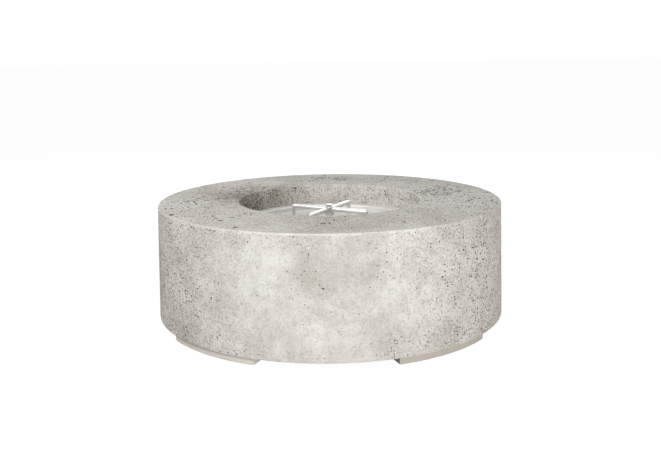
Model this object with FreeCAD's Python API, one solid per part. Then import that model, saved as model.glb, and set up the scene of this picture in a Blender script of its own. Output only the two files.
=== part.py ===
"""Concrete fire bowl: a hollow cast drum on four low feet, with a lift-out gas burner.

Lengths are millimetres and angles are degrees. The origin is on the ground under the middle
of the drum, +Z is up and -Y is the front.
"""
import FreeCAD, Part
import math
import os

# Names of the four feet and the four arms, in order round the drum
QUARTERS = ("front_right", "back_right", "back_left", "front_left")

# Concrete drum
DRUM_DIAMETER = 1220.0
DRUM_HEIGHT = 390.0
MOULD_DRAFT = 12.0
DRUM_WALL = 38.0
TOP_SLAB = 42.0
TOP_EDGE_RADIUS = 7.0
ARRIS_RADIUS = 3.0
CORE_FILLET = 20.0
BASE_RIM_HEIGHT = 40.0

# Fire opening and the ledge that carries the pan
OPENING_DIAMETER = 640.0
OPENING_LIP_RADIUS = 5.0
RECESS_DEPTH = 77.0
COLLAR_WALL = 38.0
LEDGE_WIDTH = 30.0
LEDGE_HEIGHT = 32.0

# Feet and their screws; a foot's place is its angle from the front or back
FOOT_HEIGHT = 24.0
FOOT_INSET = 10.0
FOOT_WIDTH = 90.0
FOOT_PLACE = 40.1
FOOT_HALF_SPAN = 18.6
FOOT_END_RADIUS = 25.0
FOOT_END_LARGEST_SHARE = 0.4
FOOT_SCREW_SPREAD = 10.0
FOOT_SCREW_DIAMETER = 10.0
FOOT_SCREW_HEAD_DIAMETER = 16.0
FOOT_SCREW_HEAD_HEIGHT = 10.0
FOOT_SCREW_RECESS = 12.0
FOOT_SCREW_SOCKET_WIDTH = 8.0
FOOT_SCREW_SOCKET_DEPTH = 5.0
FOOT_SCREW_TIP_GAP = 1.0
INSERT_DIAMETER = 16.0
INSERT_LENGTH = 26.0

# Burner pan
PAN_SHEET = 2.0
PAN_GAP = 4.0
PAN_BEND = 3.0
DISH_DEPTH = 22.0
WEEP_HOLE_DIAMETER = 10.0
WEEP_HOLE_CIRCLE = 440.0
WEEP_HOLE_COUNT = 8

# Burner cross
ARM_ANGLES = (-27.0, 63.0, 153.0, 243.0)
ARM_AXIS_BELOW_TOP = 39.0
ARM_REACH = 144.0
ARM_DIAMETER = 16.0
ARM_WALL = 1.5
ARM_SOCKET_DEPTH = 6.0
PORT_DIAMETER = 3.0
PORT_TILT = 50.0
PORTS_PER_ROW = 5
PORT_END_GAP = 14.0
END_PLUG_LENGTH = 14.0
END_PLUG_FLANGE = 2.0
HUB_DIAMETER = 32.0
HUB_ABOVE_AXIS = 9.0
HUB_BELOW_AXIS = 21.0
HUB_EDGE = 2.0
GAS_WAY_DIAMETER = 12.0
HUB_PLUG_DIAMETER = 10.0
HUB_PLUG_DEPTH = 4.0
HUB_PLUG_NECK = 3.0
HUB_PLUG_HEAD_WIDTH = 24.0
HUB_PLUG_HEAD_HEIGHT = 4.0

# Stands under the arms' ends
STAND_WIDTH = 16.0
STAND_SHEET = 2.0
STAND_FOOT = 22.0
STAND_ABOVE_AXIS = 5.0
STAND_CORNER_RADIUS = 4.0
STAND_SCREW_DIAMETER = 5.0
STAND_SCREW_LENGTH = 12.0
STAND_SCREW_HEAD_DIAMETER = 9.0
STAND_SCREW_HEAD_HEIGHT = 3.0
STAND_NUT_WIDTH = 8.0
STAND_NUT_HEIGHT = 4.0
STAND_SCREW_TIP = 2.0

# Riser, its clamp nuts and the air mixer
RISER_DIAMETER = 21.3
RISER_WALL = 2.75
RISER_IN_HUB = 11.0
RISER_BELOW_PAN = 30.0
RISER_NUT_WIDTH = 32.0
RISER_NUT_HEIGHT = 10.0
RISER_WASHER_DIAMETER = 40.0
RISER_WASHER_HEIGHT = 2.0
MIXER_DIAMETER = 32.0
MIXER_COLLAR_DIAMETER = 38.0
MIXER_COLLAR_HEIGHT = 16.0
MIXER_SOCKET_DEPTH = 12.0
MIXER_THROAT_LENGTH = 10.0
MIXER_CHAMBER_LENGTH = 40.0
MIXER_CHAMBER_WALL = 4.0
MIXER_FLOOR = 13.0
MIXER_EDGE = 1.0
AIR_WINDOW_WIDTH = 9.0
AIR_WINDOW_HEIGHT = 26.0
AIR_WINDOW_COUNT = 4
FIRST_AIR_WINDOW_ANGLE = 45.0
ORIFICE_DIAMETER = 12.0
ORIFICE_HEX_WIDTH = 19.0
ORIFICE_HEX_HEIGHT = 8.0
ORIFICE_NOSE = 8.0
ORIFICE_NOSE_TIP_DIAMETER = 6.0
ORIFICE_BORE = 5.0
JET_DIAMETER = 1.6

# Elbow, shut-off valve and gas inlet
ELBOW_DIAMETER = 24.0
ELBOW_LEG = 26.0
ELBOW_SOCKET_DEPTH = 12.0
LINE_BORE = 9.0
SPIGOT_DIAMETER = 14.0
SPIGOT_LENGTH = 12.0
VALVE_HEX_WIDTH = 26.0
VALVE_HEX_LENGTH = 15.0
VALVE_BARREL_DIAMETER = 34.0
VALVE_PORT_LENGTH = 7.0
BALL_DIAMETER = 22.0
BALL_SEAT_GAP = 0.3
CHAMBER_ROOM = 1.0
SEAT_BORE = 13.0
SEAT_THICKNESS = 4.0
STEM_DIAMETER = 8.0
STEM_BOSS_DIAMETER = 18.0
STEM_BOSS_REACH = 26.0
STEM_TANG_WIDTH = 3.0
STEM_TANG_DEPTH = 2.5
STEM_SQUARE = 5.4
STEM_THREAD_DIAMETER = 5.0
STEM_THREAD_LENGTH = 7.0
LEVER_LENGTH = 86.0
LEVER_WIDTH = 16.0
LEVER_THICKNESS = 3.0
LEVER_CLEARANCE = 1.0
LEVER_NUT_WIDTH = 10.0
LEVER_NUT_HEIGHT = 5.0
INLET_BODY_DIAMETER = 20.0
INLET_LEG = 16.0
INLET_DROP = 14.0
INLET_THREAD_DIAMETER = 15.88
INLET_THREAD_LENGTH = 14.0
INLET_CONE_LENGTH = 4.0
INLET_CONE_TIP_DIAMETER = 12.0

# Radial room of a plug, screw or pipe in the hole that holds it, and in a hole that it only passes
FIT = 0.05
LOOSE_FIT = 0.5

# Angles of the feet's middles, in the order of QUARTERS
FOOT_ANGLES = (FOOT_PLACE - 90.0, 90.0 - FOOT_PLACE, 90.0 + FOOT_PLACE, 270.0 - FOOT_PLACE)

UP = FreeCAD.Vector(0, 0, 1)
DOWN = FreeCAD.Vector(0, 0, -1)
RIGHT = FreeCAD.Vector(1, 0, 0)
BACK = FreeCAD.Vector(0, 1, 0)
CENTRE = FreeCAD.Vector(0, 0, 0)

# Heights above the ground
drum_base = FOOT_HEIGHT
drum_top = drum_base + DRUM_HEIGHT
ledge_top = drum_top - RECESS_DEPTH
pan_flange_top = ledge_top + PAN_SHEET
pan_floor = pan_flange_top - DISH_DEPTH
pan_underside = pan_floor - PAN_SHEET
arm_axis = drum_top - ARM_AXIS_BELOW_TOP
hub_bottom = arm_axis - HUB_BELOW_AXIS
hub_top = arm_axis + HUB_ABOVE_AXIS
riser_bottom = pan_underside - RISER_BELOW_PAN
riser_top = hub_bottom + RISER_IN_HUB
mixer_top = riser_bottom + MIXER_SOCKET_DEPTH
mixer_chamber_top = riser_bottom - MIXER_THROAT_LENGTH
mixer_floor_top = mixer_chamber_top - MIXER_CHAMBER_LENGTH
mixer_bottom = mixer_floor_top - MIXER_FLOOR
elbow_top = mixer_bottom - ORIFICE_HEX_HEIGHT
line_axis = elbow_top - ELBOW_LEG

# Radii shared by pieces that meet
drum_radius = DRUM_DIAMETER / 2
drum_top_radius = drum_radius - MOULD_DRAFT
opening_radius = OPENING_DIAMETER / 2
ledge_radius = opening_radius - LEDGE_WIDTH
foot_outer = drum_radius - FOOT_INSET
foot_inner = foot_outer - FOOT_WIDTH
foot_screw_circle = (foot_outer + foot_inner) / 2
pan_radius = opening_radius - PAN_GAP
dish_radius = ledge_radius - PAN_GAP
hub_radius = HUB_DIAMETER / 2
arm_radius = ARM_DIAMETER / 2
arm_bore = arm_radius - ARM_WALL
riser_radius = RISER_DIAMETER / 2
stand_face = ARM_REACH + END_PLUG_FLANGE
stand_foot_hole = stand_face + STAND_SHEET + (STAND_FOOT - STAND_SHEET) / 2

# Stations along the gas line, which runs back from the elbow
valve_start = ELBOW_LEG
seat_face = math.sqrt((BALL_DIAMETER / 2 + BALL_SEAT_GAP) ** 2 - (SEAT_BORE / 2) ** 2)
chamber_half = seat_face + SEAT_THICKNESS
valve_half = chamber_half + VALVE_PORT_LENGTH + SPIGOT_LENGTH
valve_middle = valve_start + valve_half
valve_end = valve_middle + valve_half
inlet_corner = valve_end + INLET_LEG
chamber_radius = BALL_DIAMETER / 2 + CHAMBER_ROOM
lever_top = line_axis - STEM_BOSS_REACH - LEVER_CLEARANCE


def outline(corners, place):
    """Closed wire through (u, v, corner radius) corners that place() puts into space."""
    flat = [FreeCAD.Vector(u, v, 0) for u, v, _ in corners]
    entries = []
    exits = []
    edges = []
    for index, (_, _, radius) in enumerate(corners):
        here = flat[index]
        back = (flat[index - 1] - here).normalize()
        ahead = (flat[(index + 1) % len(flat)] - here).normalize()
        half = back.getAngle(ahead) / 2
        entries.append(here + back * (radius / math.tan(half)))
        exits.append(here + ahead * (radius / math.tan(half)))
        if radius > 0:
            middle = here + (back + ahead).normalize() * (radius / math.sin(half) - radius)
            arc = [place(p.x, p.y) for p in (entries[-1], middle, exits[-1])]
            edges.append(Part.Arc(*arc).toShape())
    for index, start in enumerate(exits):
        end = entries[(index + 1) % len(entries)]
        edges.append(Part.LineSegment(place(start.x, start.y), place(end.x, end.y)).toShape())
    return Part.Wire(Part.__sortEdges__(edges))


def on_radius(r, z):
    """A (radius, height) point in the plane of +X and +Z."""
    return FreeCAD.Vector(r, 0, z)


def turned(corners, sweep=360):
    """Solid of revolution of a (radius, height, corner radius) section about the drum's axis."""
    return Part.Face(outline(corners, on_radius)).revolve(CENTRE, UP, sweep)


def rod(radius, start, direction, length):
    """Round bar from start."""
    return Part.makeCylinder(radius, length, start, direction)


def tube(outer, inner, start, direction, length):
    """Round pipe from start."""
    return rod(outer, start, direction, length).cut(rod(inner, start, direction, length))


def hexagon(width, start, direction, length):
    """Six-sided bar, width across its flats."""
    reach = width / math.sqrt(3)
    turns = [math.radians(60 * k) for k in range(7)]
    ring = [FreeCAD.Vector(reach * math.cos(a), reach * math.sin(a), 0) for a in turns]
    bar = Part.Face(Part.makePolygon(ring)).extrude(UP * length)
    bar.Placement = FreeCAD.Placement(start, FreeCAD.Rotation(UP, direction))
    return bar


def spun(shape, angle):
    """Copy turned about the drum's axis."""
    copy = shape.copy()
    copy.rotate(CENTRE, UP, angle)
    return copy


def at_height(z):
    """Point on the drum's axis."""
    return FreeCAD.Vector(0, 0, z)


def on_line(y):
    """Point on the gas line's axis."""
    return FreeCAD.Vector(0, y, line_axis)


def save(node, shape):
    """Write one node."""
    shape.exportStep("parts/" + node + ".step")


def foot_screw_angles(middle):
    """Angles of one foot's screws; middle is the angle of the foot's middle."""
    return [middle - FOOT_SCREW_SPREAD, middle + FOOT_SCREW_SPREAD]


def around_all_feet(shape):
    """Copies of a shape on the +X side, one at each foot's screw."""
    return [spun(shape, angle) for middle in FOOT_ANGLES for angle in foot_screw_angles(middle)]


def concrete_drum():
    """Hollow casting: wall, top slab, collar with the pan's ledge, and an inward base rim."""
    slab_under = drum_top - TOP_SLAB
    collar_radius = opening_radius + COLLAR_WALL
    rim_top = drum_base + BASE_RIM_HEIGHT
    drum = turned([
        (drum_radius, drum_base, ARRIS_RADIUS),
        (drum_top_radius, drum_top, TOP_EDGE_RADIUS),
        (opening_radius, drum_top, OPENING_LIP_RADIUS),
        (opening_radius, ledge_top, ARRIS_RADIUS),
        (ledge_radius, ledge_top, ARRIS_RADIUS),
        (ledge_radius, ledge_top - LEDGE_HEIGHT, ARRIS_RADIUS),
        (collar_radius, ledge_top - LEDGE_HEIGHT, ARRIS_RADIUS),
        (collar_radius, slab_under, CORE_FILLET),
        (drum_top_radius - DRUM_WALL, slab_under, CORE_FILLET),
        (drum_radius - DRUM_WALL, rim_top, CORE_FILLET),
        (foot_inner, rim_top, ARRIS_RADIUS),
        (foot_inner, drum_base, ARRIS_RADIUS),
    ])
    pocket_mouth = FreeCAD.Vector(foot_screw_circle, 0, drum_base)
    pocket = rod(INSERT_DIAMETER / 2 + FIT, pocket_mouth, UP, INSERT_LENGTH)
    return drum.cut(around_all_feet(pocket))


def foot(middle):
    """One low block that follows the drum's rim, rounded at its side end and counterbored from below."""
    block = turned([
        (foot_outer, 0.0, 0.0),
        (foot_outer, FOOT_HEIGHT, 0.0),
        (foot_inner, FOOT_HEIGHT, 0.0),
        (foot_inner, 0.0, 0.0),
    ], 2 * FOOT_HALF_SPAN)
    block = spun(block, middle - FOOT_HALF_SPAN)
    uprights = [edge for edge in block.Edges if abs(edge.Length - edge.BoundBox.ZLength) < FIT]
    side_end = sorted(uprights, key=lambda edge: abs(edge.CenterOfMass.y))[:2]
    block = block.makeFillet(min(FOOT_END_RADIUS, FOOT_END_LARGEST_SHARE * FOOT_WIDTH), side_end)
    under = [edge for edge in block.Edges if edge.BoundBox.ZMax < FIT]
    block = block.makeFillet(ARRIS_RADIUS, under)
    base = FreeCAD.Vector(foot_screw_circle, 0, 0)
    hole = rod(FOOT_SCREW_DIAMETER / 2 + LOOSE_FIT, base, UP, FOOT_HEIGHT)
    recess = rod(FOOT_SCREW_HEAD_DIAMETER / 2 + LOOSE_FIT, base, UP, FOOT_SCREW_RECESS)
    return block.cut([spun(hole.fuse(recess), angle) for angle in foot_screw_angles(middle)])


def foot_screws():
    """Socket-head screws, one in each counterbore."""
    head_base = FOOT_SCREW_RECESS - FOOT_SCREW_HEAD_HEIGHT
    base = FreeCAD.Vector(foot_screw_circle, 0, head_base)
    shank_length = FOOT_HEIGHT + INSERT_LENGTH - FOOT_SCREW_TIP_GAP - head_base
    shank = rod(FOOT_SCREW_DIAMETER / 2, base, UP, shank_length)
    head = rod(FOOT_SCREW_HEAD_DIAMETER / 2, base, UP, FOOT_SCREW_HEAD_HEIGHT)
    socket = hexagon(FOOT_SCREW_SOCKET_WIDTH, base, UP, FOOT_SCREW_SOCKET_DEPTH)
    return Part.Compound(around_all_feet(shank.fuse(head).cut(socket)))


def foot_inserts():
    """Threaded sleeves cast into the drum's base rim."""
    base = FreeCAD.Vector(foot_screw_circle, 0, drum_base)
    sleeve = tube(INSERT_DIAMETER / 2, FOOT_SCREW_DIAMETER / 2 + FIT, base, UP, INSERT_LENGTH)
    return Part.Compound(around_all_feet(sleeve))


def burner_pan():
    """Dished sheet with a flange on the drum's ledge, weep holes and the riser's hole."""
    riser_hole = riser_radius + LOOSE_FIT
    pan = turned([
        (riser_hole, pan_underside, 0.0),
        (dish_radius, pan_underside, PAN_BEND + PAN_SHEET),
        (dish_radius, ledge_top, PAN_BEND),
        (pan_radius, ledge_top, 0.0),
        (pan_radius, pan_flange_top, 0.0),
        (dish_radius - PAN_SHEET, pan_flange_top, PAN_BEND + PAN_SHEET),
        (dish_radius - PAN_SHEET, pan_floor, PAN_BEND),
        (riser_hole, pan_floor, 0.0),
    ])
    weep_start = FreeCAD.Vector(WEEP_HOLE_CIRCLE / 2, 0, pan_underside)
    weep = rod(WEEP_HOLE_DIAMETER / 2, weep_start, UP, PAN_SHEET)
    for k in range(WEEP_HOLE_COUNT):
        pan = pan.cut(spun(weep, 360.0 * k / WEEP_HOLE_COUNT))
    foot_start = FreeCAD.Vector(stand_foot_hole, 0, pan_underside)
    foot_hole = rod(STAND_SCREW_DIAMETER / 2 + FIT, foot_start, UP, PAN_SHEET)
    for angle in ARM_ANGLES:
        pan = pan.cut(spun(foot_hole, angle))
    return pan


def burner_hub():
    """Round cross fitting with four arm sockets, the riser's socket and the plug's hole."""
    hub = turned([
        (0.0, hub_bottom, 0.0),
        (hub_radius, hub_bottom, HUB_EDGE),
        (hub_radius, hub_top, HUB_EDGE),
        (0.0, hub_top, 0.0),
    ])
    hub = hub.cut(rod(riser_radius + FIT, at_height(hub_bottom), UP, RISER_IN_HUB))
    hub = hub.cut(rod(GAS_WAY_DIAMETER / 2, at_height(hub_bottom), UP, HUB_BELOW_AXIS))
    hub = hub.cut(rod(HUB_PLUG_DIAMETER / 2 + FIT, at_height(arm_axis), UP, HUB_ABOVE_AXIS))
    way = rod(GAS_WAY_DIAMETER / 2, at_height(arm_axis), RIGHT, hub_radius)
    socket_start = FreeCAD.Vector(hub_radius - ARM_SOCKET_DEPTH, 0, arm_axis)
    socket = rod(arm_radius + FIT, socket_start, RIGHT, ARM_SOCKET_DEPTH)
    for angle in ARM_ANGLES:
        hub = hub.cut(spun(way.fuse(socket), angle))
    return hub


def hub_plug():
    """Six-sided plug whose neck and head stand up over the hub like a T."""
    stem_start = at_height(hub_top - HUB_PLUG_DEPTH)
    stem = rod(HUB_PLUG_DIAMETER / 2, stem_start, UP, HUB_PLUG_DEPTH + HUB_PLUG_NECK)
    head_start = at_height(hub_top + HUB_PLUG_NECK)
    return stem.fuse(hexagon(HUB_PLUG_HEAD_WIDTH, head_start, UP, HUB_PLUG_HEAD_HEIGHT))


def burner_arm():
    """Tube along +X with a row of gas ports on each upper side."""
    inner_end = hub_radius - ARM_SOCKET_DEPTH
    arm_start = FreeCAD.Vector(inner_end, 0, arm_axis)
    arm = tube(arm_radius, arm_bore, arm_start, RIGHT, ARM_REACH - inner_end)
    first = hub_radius + PORT_END_GAP
    last = ARM_REACH - END_PLUG_LENGTH - PORT_END_GAP
    for tilt in (-PORT_TILT, PORT_TILT):
        outward = FreeCAD.Vector(0, math.sin(math.radians(tilt)), math.cos(math.radians(tilt)))
        for k in range(PORTS_PER_ROW):
            x = first + (last - first) * k / (PORTS_PER_ROW - 1)
            arm = arm.cut(rod(PORT_DIAMETER / 2, FreeCAD.Vector(x, 0, arm_axis), outward, ARM_DIAMETER))
    return arm


def arm_end_plug():
    """Plug in an arm's end, tapped for the stand's screw."""
    body_start = FreeCAD.Vector(ARM_REACH - END_PLUG_LENGTH, 0, arm_axis)
    body = rod(arm_bore - FIT, body_start, RIGHT, END_PLUG_LENGTH)
    flange = rod(arm_radius, FreeCAD.Vector(ARM_REACH, 0, arm_axis), RIGHT, END_PLUG_FLANGE)
    hole_start = FreeCAD.Vector(stand_face - STAND_SCREW_LENGTH, 0, arm_axis)
    hole = rod(STAND_SCREW_DIAMETER / 2 + FIT, hole_start, RIGHT, STAND_SCREW_LENGTH)
    return body.fuse(flange).cut(hole)


def arm_stand():
    """Upright strip at an arm's end, bent out at the bottom into a foot on the pan."""
    half = STAND_WIDTH / 2
    top = arm_axis + STAND_ABOVE_AXIS
    upright = outline([
        (-half, pan_floor, 0.0),
        (half, pan_floor, 0.0),
        (half, top, STAND_CORNER_RADIUS),
        (-half, top, STAND_CORNER_RADIUS),
    ], lambda u, v: FreeCAD.Vector(stand_face, u, v))
    foot = outline([
        (stand_face, -half, 0.0),
        (stand_face + STAND_FOOT, -half, STAND_CORNER_RADIUS),
        (stand_face + STAND_FOOT, half, STAND_CORNER_RADIUS),
        (stand_face, half, 0.0),
    ], lambda u, v: FreeCAD.Vector(u, v, pan_floor))
    stand = Part.Face(upright).extrude(RIGHT * STAND_SHEET).fuse(Part.Face(foot).extrude(UP * STAND_SHEET))
    hole_radius = STAND_SCREW_DIAMETER / 2 + FIT
    stand = stand.cut(rod(hole_radius, FreeCAD.Vector(stand_face, 0, arm_axis), RIGHT, STAND_SHEET))
    return stand.cut(rod(hole_radius, FreeCAD.Vector(stand_foot_hole, 0, pan_floor), UP, STAND_SHEET))


def round_head_screw(seat, direction, shank_length):
    """Screw whose head stands on seat and whose shank runs back against direction."""
    head = rod(STAND_SCREW_HEAD_DIAMETER / 2, seat, direction, STAND_SCREW_HEAD_HEIGHT)
    return head.fuse(rod(STAND_SCREW_DIAMETER / 2, seat, direction * -1, shank_length))


def stand_end_screws():
    """Screws through the stands into the arms' end plugs."""
    seat = FreeCAD.Vector(stand_face + STAND_SHEET, 0, arm_axis)
    screw = round_head_screw(seat, RIGHT, STAND_SCREW_LENGTH)
    return Part.Compound([spun(screw, angle) for angle in ARM_ANGLES])


def stand_foot_screws():
    """Screws through the stands' feet and the pan."""
    seat = FreeCAD.Vector(stand_foot_hole, 0, pan_floor + STAND_SHEET)
    screw = round_head_screw(seat, UP, STAND_SHEET + PAN_SHEET + STAND_NUT_HEIGHT + STAND_SCREW_TIP)
    return Part.Compound([spun(screw, angle) for angle in ARM_ANGLES])


def stand_foot_nuts():
    """Nuts under the pan on the feet's screws."""
    start = FreeCAD.Vector(stand_foot_hole, 0, pan_underside)
    nut = hexagon(STAND_NUT_WIDTH, start, DOWN, STAND_NUT_HEIGHT)
    nut = nut.cut(rod(STAND_SCREW_DIAMETER / 2 + FIT, start, DOWN, STAND_NUT_HEIGHT))
    return Part.Compound([spun(nut, angle) for angle in ARM_ANGLES])


def riser_nipple():
    """Pipe from the air mixer up through the pan into the hub."""
    length = riser_top - riser_bottom
    return tube(riser_radius, riser_radius - RISER_WALL, at_height(riser_bottom), UP, length)


def riser_washer(face, direction):
    """Washer on one face of the pan."""
    outer = RISER_WASHER_DIAMETER / 2
    return tube(outer, riser_radius + FIT, at_height(face), direction, RISER_WASHER_HEIGHT)


def riser_nut(face, direction):
    """Nut that clamps one washer."""
    start = at_height(face) + direction * RISER_WASHER_HEIGHT
    nut = hexagon(RISER_NUT_WIDTH, start, direction, RISER_NUT_HEIGHT)
    return nut.cut(rod(riser_radius + FIT, start, direction, RISER_NUT_HEIGHT))


def air_mixer():
    """Sleeve that draws air in through its windows under the riser."""
    collar_bottom = mixer_top - MIXER_COLLAR_HEIGHT
    mixer = turned([
        (0.0, mixer_bottom, 0.0),
        (MIXER_DIAMETER / 2, mixer_bottom, MIXER_EDGE),
        (MIXER_DIAMETER / 2, collar_bottom, MIXER_EDGE),
        (MIXER_COLLAR_DIAMETER / 2, collar_bottom, MIXER_EDGE),
        (MIXER_COLLAR_DIAMETER / 2, mixer_top, MIXER_EDGE),
        (0.0, mixer_top, 0.0),
    ])
    bore_radius = MIXER_DIAMETER / 2 - MIXER_CHAMBER_WALL
    mixer = mixer.cut(rod(riser_radius + FIT, at_height(mixer_top), DOWN, MIXER_SOCKET_DEPTH))
    mixer = mixer.cut(rod(riser_radius - RISER_WALL, at_height(riser_bottom), DOWN, MIXER_THROAT_LENGTH))
    mixer = mixer.cut(rod(bore_radius, at_height(mixer_chamber_top), DOWN, MIXER_CHAMBER_LENGTH))
    mixer = mixer.cut(rod(ORIFICE_DIAMETER / 2 + FIT, at_height(mixer_bottom), UP, MIXER_FLOOR))
    window_base = mixer_floor_top + (MIXER_CHAMBER_LENGTH - AIR_WINDOW_HEIGHT) / 2
    window_corner = FreeCAD.Vector(0, -AIR_WINDOW_WIDTH / 2, window_base)
    window = Part.makeBox(MIXER_DIAMETER, AIR_WINDOW_WIDTH, AIR_WINDOW_HEIGHT, window_corner)
    for k in range(AIR_WINDOW_COUNT):
        mixer = mixer.cut(spun(window, FIRST_AIR_WINDOW_ANGLE + 360.0 * k / AIR_WINDOW_COUNT))
    return mixer


def gas_orifice():
    """Jet that blows up into the air mixer, with a spigot down into the elbow."""
    spigot = rod(ORIFICE_DIAMETER / 2, at_height(elbow_top), DOWN, ELBOW_SOCKET_DEPTH)
    flats = hexagon(ORIFICE_HEX_WIDTH, at_height(elbow_top), UP, ORIFICE_HEX_HEIGHT)
    stem = rod(ORIFICE_DIAMETER / 2, at_height(mixer_bottom), UP, MIXER_FLOOR)
    tip_radius = ORIFICE_NOSE_TIP_DIAMETER / 2
    nose = Part.makeCone(ORIFICE_DIAMETER / 2, tip_radius, ORIFICE_NOSE, at_height(mixer_floor_top))
    body = spigot.fuse(flats).fuse(stem).fuse(nose)
    bore_start = elbow_top - ELBOW_SOCKET_DEPTH
    body = body.cut(rod(ORIFICE_BORE / 2, at_height(bore_start), UP, mixer_floor_top - bore_start))
    return body.cut(rod(JET_DIAMETER / 2, at_height(mixer_floor_top), UP, ORIFICE_NOSE))


def inlet_elbow():
    """Bend from the orifice to the valve, with a spigot into the valve."""
    corner = at_height(line_axis)
    body = rod(ELBOW_DIAMETER / 2, corner, UP, ELBOW_LEG)
    body = body.fuse(rod(ELBOW_DIAMETER / 2, corner, BACK, ELBOW_LEG))
    body = body.fuse(Part.makeSphere(ELBOW_DIAMETER / 2, corner))
    body = body.fuse(rod(SPIGOT_DIAMETER / 2, on_line(valve_start), BACK, SPIGOT_LENGTH))
    body = body.cut(rod(ORIFICE_DIAMETER / 2 + FIT, at_height(elbow_top), DOWN, ELBOW_SOCKET_DEPTH))
    body = body.cut(rod(LINE_BORE / 2, corner, UP, ELBOW_LEG))
    body = body.cut(Part.makeSphere(LINE_BORE / 2, corner))
    return body.cut(rod(LINE_BORE / 2, corner, BACK, ELBOW_LEG + SPIGOT_LENGTH))


def valve_body():
    """Barrel with the ball's chamber, the stem's boss below and the elbow's socket."""
    barrel_start = valve_start + VALVE_HEX_LENGTH
    chamber_end = valve_middle + chamber_half
    body = hexagon(VALVE_HEX_WIDTH, on_line(valve_start), BACK, VALVE_HEX_LENGTH)
    body = body.fuse(rod(VALVE_BARREL_DIAMETER / 2, on_line(barrel_start), BACK, chamber_end - barrel_start))
    body = body.fuse(rod(STEM_BOSS_DIAMETER / 2, on_line(valve_middle), DOWN, STEM_BOSS_REACH))
    body = body.cut(rod(SPIGOT_DIAMETER / 2 + FIT, on_line(valve_start), BACK, SPIGOT_LENGTH))
    body = body.cut(rod(LINE_BORE / 2, on_line(valve_start), BACK, valve_half))
    body = body.cut(rod(chamber_radius, on_line(valve_middle - chamber_half), BACK, 2 * chamber_half))
    return body.cut(rod(STEM_DIAMETER / 2 + FIT, on_line(valve_middle), DOWN, STEM_BOSS_REACH))


def valve_end_piece():
    """Far end that closes the ball's chamber and holds the inlet fitting."""
    start = valve_middle + chamber_half
    collar = valve_end - VALVE_HEX_LENGTH - start
    body = rod(VALVE_BARREL_DIAMETER / 2, on_line(start), BACK, collar)
    body = body.fuse(hexagon(VALVE_HEX_WIDTH, on_line(start + collar), BACK, VALVE_HEX_LENGTH))
    body = body.cut(rod(LINE_BORE / 2, on_line(start), BACK, valve_end - start))
    return body.cut(rod(SPIGOT_DIAMETER / 2 + FIT, on_line(valve_end - SPIGOT_LENGTH), BACK, SPIGOT_LENGTH))


def valve_seats():
    """Ring on each side of the ball."""
    starts = (valve_middle - chamber_half, valve_middle + seat_face)
    outer = chamber_radius - FIT
    return Part.Compound([tube(outer, SEAT_BORE / 2, on_line(y), BACK, SEAT_THICKNESS) for y in starts])


def valve_ball():
    """Ball with its bore across the line while the valve is shut, slotted for the stem."""
    middle = on_line(valve_middle)
    ball = Part.makeSphere(BALL_DIAMETER / 2, middle)
    ball = ball.cut(rod(LINE_BORE / 2, middle - RIGHT * BALL_DIAMETER, RIGHT, 2 * BALL_DIAMETER))
    slot_width = STEM_TANG_WIDTH + 2 * FIT
    slot_depth = STEM_TANG_DEPTH + FIT
    slot_corner = middle + FreeCAD.Vector(-BALL_DIAMETER / 2, -slot_width / 2, -BALL_DIAMETER / 2)
    return ball.cut(Part.makeBox(BALL_DIAMETER, slot_width, slot_depth, slot_corner))


def valve_stem():
    """Spindle from the ball's slot down through the boss, with a square and a thread."""
    shoulder = line_axis - BALL_DIAMETER / 2 - FIT
    tang_corner = FreeCAD.Vector(-STEM_DIAMETER / 2, valve_middle - STEM_TANG_WIDTH / 2, shoulder)
    round_bar = rod(STEM_DIAMETER / 2, FreeCAD.Vector(0, valve_middle, shoulder), UP, STEM_TANG_DEPTH)
    tang = Part.makeBox(STEM_DIAMETER, STEM_TANG_WIDTH, STEM_TANG_DEPTH, tang_corner).common(round_bar)
    spindle = rod(STEM_DIAMETER / 2, FreeCAD.Vector(0, valve_middle, lever_top), UP, shoulder - lever_top)
    square_half = STEM_SQUARE / 2
    square_corner = FreeCAD.Vector(-square_half, valve_middle - square_half, lever_top - LEVER_THICKNESS)
    square = Part.makeBox(STEM_SQUARE, STEM_SQUARE, LEVER_THICKNESS, square_corner)
    thread_start = FreeCAD.Vector(0, valve_middle, lever_top - LEVER_THICKNESS)
    thread = rod(STEM_THREAD_DIAMETER / 2, thread_start, DOWN, STEM_THREAD_LENGTH)
    return spindle.fuse(tang).fuse(square).fuse(thread)


def valve_lever():
    """Flat handle with round ends, square to the line while the valve is shut."""
    half = LEVER_WIDTH / 2
    pivot = FreeCAD.Vector(0, valve_middle, lever_top - LEVER_THICKNESS)
    tip = pivot - RIGHT * (LEVER_LENGTH - half)
    lever = Part.makeBox(LEVER_LENGTH - half, LEVER_WIDTH, LEVER_THICKNESS, tip - BACK * half)
    for end in (pivot, tip):
        lever = lever.fuse(rod(half, end, UP, LEVER_THICKNESS))
    hole = STEM_SQUARE + 2 * FIT
    hole_corner = pivot - (RIGHT + BACK) * (hole / 2)
    return lever.removeSplitter().cut(Part.makeBox(hole, hole, LEVER_THICKNESS, hole_corner))


def lever_nut():
    """Nut that holds the lever on its square."""
    start = FreeCAD.Vector(0, valve_middle, lever_top - LEVER_THICKNESS)
    nut = hexagon(LEVER_NUT_WIDTH, start, DOWN, LEVER_NUT_HEIGHT)
    return nut.cut(rod(STEM_THREAD_DIAMETER / 2 + FIT, start, DOWN, LEVER_NUT_HEIGHT))


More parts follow.
